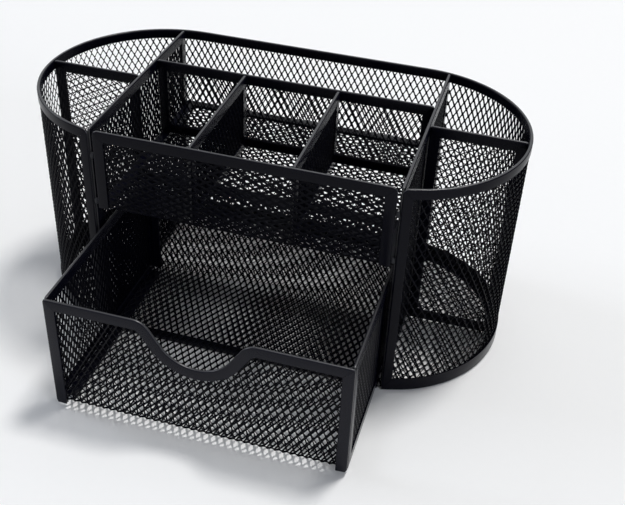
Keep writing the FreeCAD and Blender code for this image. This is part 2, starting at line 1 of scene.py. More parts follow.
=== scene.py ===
"""Looks of a black steel-mesh desk organizer with a drawer.

Every sheet of expanded mesh and every folded edging strip is built flat, as (u, v, w): u across the
sheet, v up it and w out of it. A placing function then lays it on its plane, round the tub's ends or
over the bends of a folded sheet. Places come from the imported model; lengths are metres.
"""

import functools
import logging
import math
from collections.abc import Callable, Iterable, Sequence
from dataclasses import dataclass, field
from enum import Enum, Flag, auto
from typing import NamedTuple

import bmesh
import bpy
from bmesh.types import BMesh, BMFace, BMVert
from bpy.types import Material, NodeSocket, Object, World
from mathutils import Matrix, Vector


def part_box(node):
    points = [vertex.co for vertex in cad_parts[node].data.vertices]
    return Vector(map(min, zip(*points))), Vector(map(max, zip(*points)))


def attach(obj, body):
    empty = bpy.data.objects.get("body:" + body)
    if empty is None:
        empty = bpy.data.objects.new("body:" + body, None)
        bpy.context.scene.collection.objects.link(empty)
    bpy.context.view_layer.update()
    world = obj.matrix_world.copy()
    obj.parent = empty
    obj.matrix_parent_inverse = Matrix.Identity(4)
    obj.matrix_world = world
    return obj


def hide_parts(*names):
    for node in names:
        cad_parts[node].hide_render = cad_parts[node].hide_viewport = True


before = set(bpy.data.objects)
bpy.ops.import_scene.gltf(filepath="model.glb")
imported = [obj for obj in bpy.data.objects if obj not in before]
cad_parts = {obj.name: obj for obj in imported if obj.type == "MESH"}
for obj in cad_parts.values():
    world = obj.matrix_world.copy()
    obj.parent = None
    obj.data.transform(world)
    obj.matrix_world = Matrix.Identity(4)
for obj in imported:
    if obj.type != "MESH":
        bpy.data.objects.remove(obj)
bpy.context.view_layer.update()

MM = 0.001

log = logging.getLogger("organizer")

Place = Callable[[Vector], Vector]
Point = tuple[float, float]
Colour = tuple[float, float, float]
Window = tuple[float, float, float, float]      # left, lower, right and upper side
AXES = [Vector(row) for row in Matrix.Identity(3)]
SHARP_ANGLE = math.radians(38.0)
CUT_DISTANCE = 1e-7             # a vertex this near a cut counts as on it
FOLD_HIGHLIGHT_DEPTH = 0.12 * MM        # how far from a fold's top the lighter coat of the painted highlight reaches
SEAM = 0.05 * MM                # half the open line between two strips that meet
CORNER_REACH = 2.6 * MM         # how far from a strip's end its stations lie close together
CORNER_STEPS = 4
NEAR_END = [CORNER_REACH * k / CORNER_STEPS for k in range(CORNER_STEPS + 1)]
MIX_FACTOR, MIX_FIRST, MIX_SECOND, MIX_RESULT = 0, 6, 7, 2      # a colour Mix node's sockets


class Body(Enum):
    """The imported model's moving bodies."""

    ORGANIZER = "organizer"
    DRAWER = "drawer"


class Slot(Enum):
    """The material slots that the finishes name."""

    MESH = "mesh"
    EDGING = "edging"


class Side(Flag):
    """The sides of a sheet, seen with u to the right and v up."""

    BOTTOM = auto()
    RIGHT = auto()
    TOP = auto()
    LEFT = auto()
    ALL = BOTTOM | RIGHT | TOP | LEFT
    NOT_BOTTOM = RIGHT | TOP | LEFT


# ---- Shader maths and finishes ----


class Wire:
    """A number that runs through a node tree. Arithmetic on it adds Math nodes."""

    def __init__(self, bench: "Bench", socket: NodeSocket) -> None:
        """Keeps the bench that adds nodes, and the socket that carries the number."""
        self.bench = bench
        self.socket = socket

    def _math(self, operation: str, first: "Wire | float", second: "Wire | float") -> "Wire":
        """The result of a new Math node on two values."""
        return self.bench.add("ShaderNodeMath", {"operation": operation}, {0: first, 1: second}, "Value")

    def __add__(self, other: "Wire | float") -> "Wire":
        """The sum."""
        return self._math("ADD", self, other)

    def __mul__(self, other: "Wire | float") -> "Wire":
        """The product."""
        return self._math("MULTIPLY", self, other)

    def __pow__(self, other: float) -> "Wire":
        """The power."""
        return self._math("POWER", self, other)

    __radd__ = __add__
    __rmul__ = __mul__


class Bench:
    """One node tree, and the one way in which its nodes are added."""

    def __init__(self, owner: Material | World, output: str) -> None:
        """Empties the owner's node tree.

        Args:
            owner: the material or the world.
            output: the type of its output node.
        """
        owner.use_nodes = True
        self.owner = owner
        self.tree = owner.node_tree
        self.tree.nodes.clear()
        self.output = output

    def add(self, kind: str, settings: dict[str, object], sockets: dict[str | int, object],
            output: str | int = 0) -> Wire:
        """Adds a node.

        Args:
            kind: the node's type.
            settings: its properties, set before its sockets.
            sockets: a value, colour or Wire for each named or numbered input.
            output: the output that is wanted.

        Returns:
            That output, or the first input of a node that has none.
        """
        node = self.tree.nodes.new(kind)
        for key, value in settings.items():
            setattr(node, key, value)
        for key, value in sockets.items():
            if isinstance(value, Wire):
                self.tree.links.new(value.socket, node.inputs[key])
            else:
                node.inputs[key].default_value = value
        return Wire(self, node.outputs[output] if node.outputs else node.inputs[0])

    def mix(self, share: Wire, first: Sequence[float] | Wire, second: Sequence[float] | Wire) -> Wire:
        """A mix of two colours; share says how much of the second there is."""
        ends = [end if isinstance(end, Wire) else (*end, 1.0) for end in (first, second)]
        return self.add("ShaderNodeMix", {"data_type": "RGBA"},
                        {MIX_FACTOR: share, MIX_FIRST: ends[0], MIX_SECOND: ends[1]}, MIX_RESULT)

    def finish(self, surface: Wire) -> Material | World:
        """Sends a shader to the output and returns the material or the world."""
        self.add(self.output, {}, {"Surface": surface})
        return self.owner


def noise(bench: Bench, place: Wire, scale: float, octaves: float = 2.0) -> Wire:
    """Soft noise from 0 to 1, with so many features per metre and so many finer layers."""
    return bench.add("ShaderNodeTexNoise", {}, {"Vector": place, "Scale": scale, "Detail": octaves}, "Fac")


@dataclass(frozen=True)
class PowderCoat:
    """Satin black powder coat: orange peel, uneven gloss and a tone that drifts over the piece."""

    name: str
    slot: Slot = Slot.EDGING
    cool: Colour = (0.0015, 0.0016, 0.0046)
    warm: Colour = (0.0026, 0.0027, 0.0050)
    haze: Colour = (0.0080, 0.0082, 0.0110)     # the palest grains
    roughness: float = 0.28         # on the average
    unevenness: float = 0.12        # how much the drift adds to the roughness
    grain_unevenness: float = 0.6   # what the grain adds, as a share of that
    specular: float = 0.20
    drift_scale: float = 28.0       # features per metre of the slow change in tone
    peel_scale: float = 900.0       # of the orange peel
    grain_scale: float = 3600.0     # of the powder's grain
    speck_scale: float = 1800.0     # of the larger specks in it
    haze_share: float = 0.35
    haze_power: float = 3.0         # a higher one leaves fewer grains pale
    peel_height: float = 0.55       # the three parts of the relief
    grain_height: float = 0.25
    speck_height: float = 0.20
    peel_depth: float = 0.014 * MM
    bump_strength: float = 0.6

    def build(self) -> Material:
        """Makes the material.

        Returns:
            The material.
        """
        bench = Bench(bpy.data.materials.new(self.name), "ShaderNodeOutputMaterial")
        place = bench.add("ShaderNodeTexCoord", {}, {}, "Object")
        drift = noise(bench, place, self.drift_scale, octaves=3.0)
        peel = noise(bench, place, self.peel_scale)
        grain = noise(bench, place, self.grain_scale)
        specks = bench.add("ShaderNodeTexVoronoi", {"feature": "SMOOTH_F1"},
                           {"Vector": place, "Scale": self.speck_scale}, "Distance")
        tone = bench.mix(drift, self.cool, self.warm)
        hazy = bench.mix(grain ** self.haze_power * self.haze_share, tone, self.haze)
        smoothest = self.roughness - self.unevenness * (1.0 + self.grain_unevenness) / 2.0
        roughness = drift * self.unevenness + grain * (self.unevenness * self.grain_unevenness) + smoothest
        height = peel * self.peel_height + grain * self.grain_height + specks * self.speck_height
        normal = bench.add("ShaderNodeBump", {}, {
            "Height": height, "Strength": self.bump_strength, "Distance": self.peel_depth})
        return bench.finish(bench.add("ShaderNodeBsdfPrincipled", {}, {
            "Base Color": hazy, "Roughness": roughness, "Normal": normal,
            "Specular IOR Level": self.specular}))


@dataclass(frozen=True)
class PaleTable:
    """The white table top, which runs into the pale room far from the object."""

    clean: Colour = (0.930, 0.932, 0.938)
    worn: Colour = (0.915, 0.918, 0.926)
    far: Colour = (0.825, 0.842, 0.870)     # what the camera sees far from the object
    fade_start: float = 0.45                # where that begins, and where it is complete
    fade_end: float = 1.0
    grain_scale: float = 260.0
    roughness: float = 0.6
    specular: float = 0.08

    def build(self) -> Material:
        """Makes the material.

        Returns:
            The material.
        """
        bench = Bench(bpy.data.materials.new("pale_table"), "ShaderNodeOutputMaterial")
        place = bench.add("ShaderNodeTexCoord", {}, {}, "Object")
        shade = bench.mix(noise(bench, place, self.grain_scale, octaves=3.0), self.clean, self.worn)
        distance = bench.add("ShaderNodeVectorMath", {"operation": "LENGTH"}, {0: place}, "Value")
        reach = bench.add("ShaderNodeMapRange", {"interpolation_type": "SMOOTHSTEP"}, {
            "Value": distance, "From Min": self.fade_start, "From Max": self.fade_end}, "Result")
        fade = reach * bench.add("ShaderNodeLightPath", {}, {}, "Is Camera Ray")
        black = (0.0, 0.0, 0.0)
        return bench.finish(bench.add("ShaderNodeBsdfPrincipled", {}, {
            "Base Color": bench.mix(fade, shade, black), "Roughness": self.roughness,
            "Specular IOR Level": self.specular,
            "Emission Color": bench.mix(fade, black, self.far), "Emission Strength": 1.0}))


@dataclass(frozen=True)
class PaleRoom:
    """The surroundings: pale where they are seen or mirrored, and a low, even fill on everything."""

    tint: Colour = (0.95, 0.97, 1.0)
    fill: float = 0.15      # its strength as light on everything
    seen: float = 0.93      # and where it is seen, mirrored or looked at through something

    def build(self) -> World:
        """Makes the world.

        Returns:
            The world.
        """
        bench = Bench(bpy.data.worlds.new("pale_room"), "ShaderNodeOutputWorld")
        camera, glossy, through = (bench.add("ShaderNodeLightPath", {}, {}, f"Is {kind} Ray")
                                   for kind in ("Camera", "Glossy", "Transmission"))
        strength = (camera + glossy + through) * (self.seen - self.fill) + self.fill
        return bench.finish(bench.add("ShaderNodeBackground", {}, {
            "Color": (*self.tint, 1.0), "Strength": strength}))


class Coat(Enum):
    """The object's finishes."""

    MESH = PowderCoat("powder_coat_on_mesh", Slot.MESH, cool=(0.0007, 0.0008, 0.0032),
                      warm=(0.0012, 0.0013, 0.0034), haze=(0.0040, 0.0041, 0.0060), roughness=0.22,
                      specular=0.05, peel_scale=1500.0, peel_depth=0.020 * MM)
    EDGING = PowderCoat("powder_coat_on_edging", cool=(0.0009, 0.0010, 0.0046), warm=(0.0016, 0.0017, 0.0050),
                        haze=(0.0060, 0.0062, 0.0100), roughness=0.22, specular=0.10)
    # The drawer's strips carry the same coat as the tub's edging, made lighter, bluer and glossier. This is a
    # painted reflection of the bright table that they face.
    DRAWER_EDGING_PAINTED_REFLECTION = PowderCoat("powder_coat_on_drawer_edging_painted_reflection", cool=(0.0020, 0.0022, 0.0080),
                               warm=(0.0026, 0.0028, 0.0080), specular=0.17)
    # A lighter, glossier copy of the coat on the folds' tops: a painted highlight that draws a light line
    # along each fold.
    PAINTED_FOLD_HIGHLIGHT = PowderCoat("painted_highlight_on_folds", cool=(0.009, 0.009, 0.012), warm=(0.015, 0.015, 0.018),
                        haze=(0.030, 0.030, 0.034), roughness=0.36, specular=0.55)
    WELD = PowderCoat("powder_coat_on_weld", cool=(0.012, 0.013, 0.016), warm=(0.024, 0.025, 0.030),
                      roughness=0.45, peel_scale=1400.0, peel_depth=0.08 * MM)

    @functools.cached_property
    def material(self) -> Material:
        """The finish's material, made at its first use."""
        return self.value.build()

    def dress(self, piece: Object) -> None:
        """Gives a piece this finish, and its folds' tops the lighter, glossier coat that paints a highlight
        line along them.

        Args:
            piece: the piece.
        """
        piece.data.materials.append(self.material)
        # Faces marked 1 lie along a fold's top and get the painted fold highlight.
        if any(face.material_index for face in piece.data.polygons):
            piece.data.materials.append(Coat.PAINTED_FOLD_HIGHLIGHT.material)


# ---- Placing flat work in space ----


@dataclass(frozen=True)
class Plane:
    """A flat sheet's place: its middle plane and the directions of u, v and w."""

    origin: Vector
    across: Vector
    up: Vector
    out: Vector

    def __call__(self, flat: Vector) -> Vector:
        """Where a flat point lies."""
        return self.origin + self.across * flat.x + self.up * flat.y + self.out * flat.z


@dataclass(frozen=True)
class Extent:
    """A node's box seen as a flat sheet: its plane and its sides in u and v."""

    plane: Plane
    u0: float
    v0: float
    u1: float
    v1: float

    @staticmethod
    def of(node: str) -> "Extent":
        """Reads a CAD node's box; the sheet's plane is square to the box's shortest side.

        Args:
            node: the node's name.

        Returns:
            The node's extent, with v up, or towards the rear on a level sheet.
        """
        low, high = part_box(node)
        size = high - low
        thin = min(range(3), key=lambda axis: size[axis])
        u_axis, v_axis = ((1, 2), (0, 2), (0, 1))[thin]
        origin = AXES[thin] * ((low[thin] + high[thin]) / 2.0)
        plane = Plane(origin, AXES[u_axis], AXES[v_axis], AXES[thin])
        return Extent(plane, low[u_axis], low[v_axis], high[u_axis], high[v_axis])


@dataclass(frozen=True)
class TubWall:
    """The wall's middle surface: u runs along it from the rear's middle, v up, w outward."""

    centre_x: float
    radius: float
    post_angle: float

    @property
    def reach(self) -> float:
        """The length from the rear's middle to a post's free edge."""
        return self.centre_x + (math.pi - self.post_angle) * self.radius

    def __call__(self, flat: Vector) -> Vector:
        """Rolls a point of the flat wall round the tub.

        Args:
            flat: the point.

        Returns:
            Where it lies.
        """
        along = abs(flat.x)
        reach = self.radius + flat.z
        turn = max(along - self.centre_x, 0.0) / self.radius
        x = min(along, self.centre_x) + reach * math.sin(turn)
        return Vector((math.copysign(x, flat.x), reach * math.cos(turn), flat.y))


@dataclass(frozen=True)
class FoldedSheet:
    """A sheet bent square across its length: it comes down, runs level and may rise again.

    u is X. v runs down from z = top, round the front bend, along the floor towards +Y and, past the
    rear bend, up.
    """

    front: float
    top: float
    level: float
    rear: float
    radius: float

    @property
    def drop(self) -> float:
        """The length of the upright front."""
        return self.top - self.level - self.radius

    @property
    def bend(self) -> float:
        """The length of a bend."""
        return self.radius * math.pi / 2.0

    @property
    def run(self) -> float:
        """The length of the level part between two bends."""
        return self.rear - self.front - 2.0 * self.radius

    def __call__(self, flat: Vector) -> Vector:
        """Bends a point of the flat sheet; w is outward, which is down on the level part.

        Args:
            flat: the point.

        Returns:
            Where it lies.
        """
        half_run = self.run / 2.0
        off = flat.y - self.drop - self.bend - half_run
        middle = (self.front + self.rear) / 2.0
        past = abs(off) - half_run
        if past <= 0.0:
            return Vector((flat.x, middle + off, self.level - flat.z))
        reach = self.radius + flat.z
        turn = min(past, self.bend) / self.radius
        y = middle + math.copysign(half_run + reach * math.sin(turn), off)
        rise = max(past - self.bend, 0.0)
        return Vector((flat.x, y, self.level + self.radius - reach * math.cos(turn) + rise))


def make_piece(name: str, bm: BMesh, place: Place, body: Body, coat: Coat, *nodes: str) -> None:
    """Places flat work and makes it a piece of the object.

    Args:
        name: the piece's name.
        bm: the flat work, which is freed.
        place: where each flat point lies.
        body: the body that the piece rides on.
        coat: its finish.
        nodes: the CAD nodes that the piece stands for.
    """
    for vert in bm.verts:
        vert.co = place(vert.co)
    bmesh.ops.recalc_face_normals(bm, faces=bm.faces)
    mesh = bpy.data.meshes.new(name)
    bm.to_mesh(mesh)
    bm.free()
    mesh.shade_smooth()
    mesh.set_sharp_from_angle(angle=SHARP_ANGLE)
    piece = bpy.data.objects.new(name, mesh)
    bpy.context.scene.collection.objects.link(piece)
    coat.dress(piece)
    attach(piece, body.value)
    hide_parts(*nodes)
    log.info("%s: %d faces", name, len(mesh.polygons))


def add_slab(bm: BMesh, low: Vector, high: Vector, bevel: float) -> None:
    """Adds a plate with broken edges.

    Args:
        bm: the work.
        low: its lowest corner.
        high: its highest corner.
        bevel: the width of its edges' bevels.
    """
    verts = bmesh.ops.create_cube(bm, size=1.0)["verts"]
    bmesh.ops.scale(bm, verts=verts, vec=high - low)
    bmesh.ops.translate(bm, verts=verts, vec=(low + high) / 2.0)
    edges = list({edge for vert in verts for edge in vert.link_edges})
    bmesh.ops.bevel(bm, geom=edges, offset=bevel, offset_type="OFFSET", affect="EDGES", segments=2,
                    profile=0.5, clamp_overlap=True, material=-1)


# ---- Expanded mesh ----


@dataclass(frozen=True)
class ExpandedMesh:
    """Expanded steel mesh: diamonds between twisted strands, thickened and rounded by the coat."""

    across: float = 3.2 * MM       # pitch of the diamonds across
    along: float = 6.0 * MM        # pitch of the diamonds along their length
    strand: float = 0.52 * MM      # width of a strand
    thick: float = 0.22 * MM       # thickness at a strand's edges
    crown: float = 0.09 * MM       # how far a strand's middle stands above its edges
    tilt: float = 0.40 * MM        # how far the strands' edges are twisted out of the sheet
    tip_fill: float = 0.44 * MM    # how far the coat fills a hole's narrow corners
    flank_fill: float = 0.26 * MM  # and its wide ones
    scrap: float = 0.25            # a clipped diamond smaller than this share stays plain
    complete: float = 0.99         # a diamond larger than this share is unclipped
    tip_zone: float = 0.125        # a corner this share of the pitch from the hole's middle is a tip
    spare: int = 4                 # rows of diamonds laid beyond the window

    def weave(self, window: Window, section: Point = (-math.inf, math.inf),
              cuts: Iterable[tuple[Point, Point]] = (),
              floor_of: Callable[[float], float] | None = None) -> BMesh:
        """Makes a flat piece of mesh.

        Args:
            window: its sides.
            section: the range of u that a diamond's middle must lie in, where the piece is part of a
                longer one and is parted from the rest along the diamonds' borders.
            cuts: further straight cuts, each a point and the direction that is cut away.
            floor_of: the lowest v that is kept at each u, for a curved lower side.

        Returns:
            The mesh, centred on w = 0.
        """
        bm = bmesh.new()
        u0, v0, u1, v1 = window
        start, end = section
        self._lay_diamonds(bm, (max(u0, start), v0, min(u1, end), v1))
        gone = [face for face in bm.faces if not start <= face.calc_center_median().x < end]
        bmesh.ops.delete(bm, geom=gone, context="FACES")
        straight = [((u0, 0.0), (-1.0, 0.0)), ((u1, 0.0), (1.0, 0.0)),
                    ((0.0, v0), (0.0, -1.0)), ((0.0, v1), (0.0, 1.0))]
        for point, away in [*straight, *cuts]:
            bmesh.ops.bisect_plane(bm, geom=[*bm.verts, *bm.edges, *bm.faces], dist=CUT_DISTANCE,
                                   plane_co=(*point, 0.0), plane_no=(*away, 0.0), clear_outer=True)
        if floor_of is not None:
            self._trim_to(bm, floor_of)
        self._open_holes(bm)
        self._thicken(bm)
        return bm

    def weave_across(self, window: Window) -> BMesh:
        """Makes a flat piece of mesh whose diamonds lie with their length across it.

        Args:
            window: its sides.

        Returns:
            The mesh, centred on w = 0.
        """
        u0, v0, u1, v1 = window
        woven = self.weave((v0, -u1, v1, -u0))
        bmesh.ops.rotate(woven, verts=woven.verts, matrix=Matrix.Rotation(math.pi / 2.0, 3, "Z"))
        return woven

    def _lay_diamonds(self, bm: BMesh, window: Window) -> None:
        """Lays a turned grid over a window, so that each face is one diamond.

        Args:
            bm: the work.
            window: its sides.
        """
        u0, v0, u1, v1 = window
        count = math.ceil((u1 - u0) / self.across + (v1 - v0) / self.along) + self.spare
        count += count % 2
        bmesh.ops.create_grid(bm, x_segments=count, y_segments=count, size=count / 2.0 / math.sqrt(2.0))
        centre = Vector((round((u0 + u1) / 2.0 / self.across) * self.across,
                         round((v0 + v1) / 2.0 / self.along) * self.along, 0.0))
        bmesh.ops.rotate(bm, verts=bm.verts, matrix=Matrix.Rotation(math.pi / 4.0, 3, "Z"))
        bmesh.ops.scale(bm, verts=bm.verts, vec=(self.across, self.along, 1.0))
        bmesh.ops.translate(bm, verts=bm.verts, vec=centre)

    def _trim_to(self, bm: BMesh, floor_of: Callable[[float], float]) -> None:
        """Removes the diamonds whose middles lie below a curve and draws the rest up to it.

        Args:
            bm: the work.
            floor_of: the curve.
        """
        middles = {face: face.calc_center_median() for face in bm.faces}
        gone = [face for face, middle in middles.items() if middle.y < floor_of(middle.x)]
        bmesh.ops.delete(bm, geom=gone, context="FACES")
        for vert in bm.verts:
            vert.co.y = max(vert.co.y, floor_of(vert.co.x))

    def _open_holes(self, bm: BMesh) -> None:
        """Cuts a hole in each diamond, twists the strands and fills the holes' corners.

        Args:
            bm: the work.
        """
        raised = bm.verts.layers.float.new("raised")
        for vert in bm.verts:
            vert[raised] = self.crown
        area = self.across * self.along / 2.0
        diamonds = [face for face in bm.faces if face.calc_area() > self.scrap * area]
        unclipped = {face for face in diamonds if face.calc_area() > self.complete * area}
        bmesh.ops.inset_individual(bm, faces=diamonds, thickness=self.strand / 2.0, use_even_offset=True)
        tips, flanks = [], []
        for face in diamonds:
            middle = face.calc_center_median().x
            for vert in face.verts:
                off = vert.co.x - middle
                vert[raised] = 0.0
                vert.co.z = -2.0 * self.tilt * off / self.across
                if face in unclipped:
                    (tips if abs(off) < self.across * self.tip_zone else flanks).append(vert)
        bmesh.ops.delete(bm, geom=diamonds, context="FACES_ONLY")
        for rims, fill in ((tips, self.tip_fill), (flanks, self.flank_fill)):
            bmesh.ops.bevel(bm, geom=rims, offset=fill, offset_type="OFFSET", affect="VERTICES",
                            segments=1, profile=0.5, clamp_overlap=True, material=-1)

    def _thicken(self, bm: BMesh) -> None:
        """Gives the strands their thickness and their raised middles.

        Args:
            bm: the work.
        """
        raised = bm.verts.layers.float["raised"]
        made = bmesh.ops.extrude_face_region(bm, geom=bm.faces[:], use_keep_orig=True)["geom"]
        lower = {item for item in made if isinstance(item, BMVert)}
        for vert in bm.verts:
            rise = self.thick / 2.0 + vert[raised]
            vert.co.z += -rise if vert in lower else rise
        bm.verts.layers.float.remove(raised)


# ---- Folded edging strips ----


@dataclass(frozen=True)
class Strip:
    """A strip of plain sheet folded over the mesh's edge: a flat-topped fold and two legs.

    Its section is drawn as (p, w): p inward from the fold, w across it.
    """

    width: float = 4.8 * MM
    overall: float = 1.6 * MM
    sheet: float = 0.5 * MM
    fold_radius: float = 0.70 * MM
    lip_bevel: float = 0.12 * MM
    fold_steps: int = 3

    def leg(self) -> list[Point]:
        """Draws the half of the channel on its w > 0 side.

        Returns:
            The outline, from the fold's top round its corner and down the leg to the channel's bottom.
        """
        half = self.overall / 2.0
        radius = self.fold_radius
        turns = [math.pi / 2.0 * (1.0 - step / self.fold_steps) for step in range(self.fold_steps + 1)]
        corner = [(radius * (1.0 - math.sin(turn)), half - radius * (1.0 - math.cos(turn))) for turn in turns]
        return [*corner, (self.width - self.lip_bevel, half), (self.width, half - self.lip_bevel),
                (self.width, half - self.sheet), (self.sheet, half - self.sheet)]

    def section(self) -> list[Point]:
        """The channel's outline, once round."""
        leg = self.leg()
        return [*leg, *((p, -w) for p, w in reversed(leg))]


@dataclass(frozen=True)
class Angle(Strip):
    """A strip bent once: an upright outer leg, and a ledge turned in under the mesh."""

    ledge: float = 4.6 * MM        # its reach from the outer face

    def section(self) -> list[Point]:
        """The angle's outline, once round."""
        tip, bevel = self.overall / 2.0 - self.ledge, self.lip_bevel
        return [*self.leg(), (self.sheet, tip + bevel), (self.sheet - bevel, tip), (bevel, tip),
                (0.0, tip + bevel)]


Station = Callable[[float], Point]


def sweep(bm: BMesh, section: Sequence[Point], stations: Sequence[Station]) -> None:
    """Runs a strip's section through its stations and closes both ends.

    Args:
        bm: the work.
        section: the outline, as (p, w).
        stations: for each place on the way, where a point p inward from the fold lies, as (u, v).
    """
    ring = [bm.verts.new((*stations[0](p), w)) for p, w in section]
    bm.faces.new(ring)
    for station in stations[1:]:
        edges = [bm.edges.get(pair) for pair in zip(ring, ring[1:] + ring[:1])]
        made = bmesh.ops.extrude_edge_only(bm, edges=edges)["geom"]
        fresh = {item for item in made if isinstance(item, BMVert)}
        after = [next(edge.other_vert(vert) for edge in vert.link_edges if edge.other_vert(vert) in fresh)
                 for vert in ring]
        # Faces near a fold's top are marked for the coat that paints a highlight line along it.
        highlit = {vert for verts in (ring, after) for vert, (p, _) in zip(verts, section) if p < FOLD_HIGHLIGHT_DEPTH}
        for item in made:
            if isinstance(item, BMFace) and highlit.issuperset(item.verts):
                item.material_index = 1
        for vert, (p, w) in zip(after, section):
            vert.co = Vector((*station(p), w))
        ring = after
    bm.faces.new(ring)


@dataclass(frozen=True)
class Bar:
    """One straight length of strip along a sheet's side.

    A mitre is how far the end slants along the strip for each unit inward; 0 is a square end.
    """

    start: Point
    end: Point
    start_mitre: float = 1.0
    end_mitre: float = 1.0
    step: float = 60.0 * MM        # the most between two stations away from the ends

    def stations(self, width: float) -> list[Station]:
        """The stations from start to end: close together near an end, where a corner is rounded.

        Args:
            width: the strip's width.

        Returns:
            The stations, with the sheet to the left of the direction of travel.
        """
        along = Vector(self.end) - Vector(self.start)
        length = along.length
        along /= length
        inward = Vector((-along.y, along.x))

        def station(distance: float, slant: float) -> Station:
            """A station a distance along the fold, slanting by slant for each unit inward."""
            return lambda p: tuple(Vector(self.start) + along * (distance + slant * p) + inward * p)

        first = [station(SEAM + d, self.start_mitre) for d in NEAR_END]
        last = [station(length - SEAM - d, -self.end_mitre) for d in reversed(NEAR_END)]
        inner_start = CORNER_REACH + self.start_mitre * width
        inner_end = length - CORNER_REACH - self.end_mitre * width
        count = max(0, math.floor((inner_end - inner_start) / self.step))
        spread = [inner_start + (inner_end - inner_start) * k / (count + 1) for k in range(1, count + 1)]
        return [*first, *(station(d, 0.0) for d in spread), *last]


@dataclass(frozen=True)
class RoundedCorner:
    """A rounding of a sheet's corner, which carries the strips that meet there with it."""

    corner: Point
    toward: Point              # the signs of the directions from the sheet to the corner
    radius: float

    def apply(self, bm: BMesh) -> None:
        """Draws the corner's square in to a quarter disc.

        Args:
            bm: the flat work.
        """
        centre_u = self.corner[0] - self.toward[0] * self.radius
        centre_v = self.corner[1] - self.toward[1] * self.radius
        for vert in bm.verts:
            a = (vert.co.x - centre_u) * self.toward[0]
            b = (vert.co.y - centre_v) * self.toward[1]
            if a > 0.0 and b > 0.0:
                shrink = max(a, b) / math.hypot(a, b)
                vert.co.x = centre_u + a * shrink * self.toward[0]
                vert.co.y = centre_v + b * shrink * self.toward[1]


def edge_sheet(extent: Extent, strip: Strip, sides: Side, corner: float = 0.0) -> BMesh:
    """Makes the strips round a rectangular sheet, mitred where two of them meet.

    Args:
        extent: the sheet's sides.
        strip: the edging.
        sides: the sides that have it.
        corner: the radius of the corners between two strips.

    Returns:
        The flat strips.
    """
    u0, v0, u1, v1 = extent.u0, extent.v0, extent.u1, extent.v1
    ring = [(Side.BOTTOM, (u0, v0), (u1, v0), (1.0, -1.0)), (Side.RIGHT, (u1, v0), (u1, v1), (1.0, 1.0)),
            (Side.TOP, (u1, v1), (u0, v1), (-1.0, 1.0)), (Side.LEFT, (u0, v1), (u0, v0), (-1.0, -1.0))]
    bm = bmesh.new()
    rounded = []
    for index, (side, start, end, toward) in enumerate(ring):
        if side not in sides:
            continue
        before = ring[index - 1][0] in sides
        after = ring[(index + 1) % len(ring)][0] in sides
        sweep(bm, strip.section(), Bar(start, end, float(before), float(after)).stations(strip.width))
        if after and corner > 0.0:
            rounded.append(RoundedCorner(end, toward, corner))
    for cut in rounded:
        cut.apply(bm)
    return bm


# ---- Sub-assemblies ----


@dataclass
class EdgedPanels:
    """The upright panels that are edged all round: the dividers and the drawer's sides."""

    mesh: ExpandedMesh = ExpandedMesh()
    strip: Strip = Strip()
    corner: float = 1.0 * MM
    foot_bevel: float = 0.12 * MM

    def build(self, stem: str, body: Body, foot_inset: float | None = None, turned: bool = False) -> None:
        """Makes one panel's mesh and its edging.

        Args:
            stem: what its two CAD nodes' names start with.
            body: the body that it rides on.
            foot_inset: where it has a foot turned in under the floor, how far that stops short of its ends.
            turned: whether the diamonds lie with their length across the panel.
        """
        sheet = Extent.of(f"{stem}_mesh")
        edge = Extent.of(f"{stem}_frame")
        weave = self.mesh.weave_across if turned else self.mesh.weave
        woven = weave((sheet.u0, sheet.v0, sheet.u1, sheet.v1))
        make_piece(f"{stem}_weave", woven, sheet.plane, body, Coat.MESH, f"{stem}_mesh")
        folded = edge_sheet(edge, self.strip, Side.ALL, self.corner)
        if foot_inset is not None:
            low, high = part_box(f"{stem}_frame")
            middle = sheet.plane.origin.x
            half = self.strip.overall / 2.0
            near, far = (low.x - middle, -half) if middle > 0.0 else (half, high.x - middle)
            add_slab(folded, Vector((edge.u0 + foot_inset, edge.v0, near)),
                     Vector((edge.u1 - foot_inset, edge.v0 + self.strip.sheet, far)), self.foot_bevel)
        make_piece(f"{stem}_edging", folded, sheet.plane, body, Coat.EDGING, f"{stem}_frame")


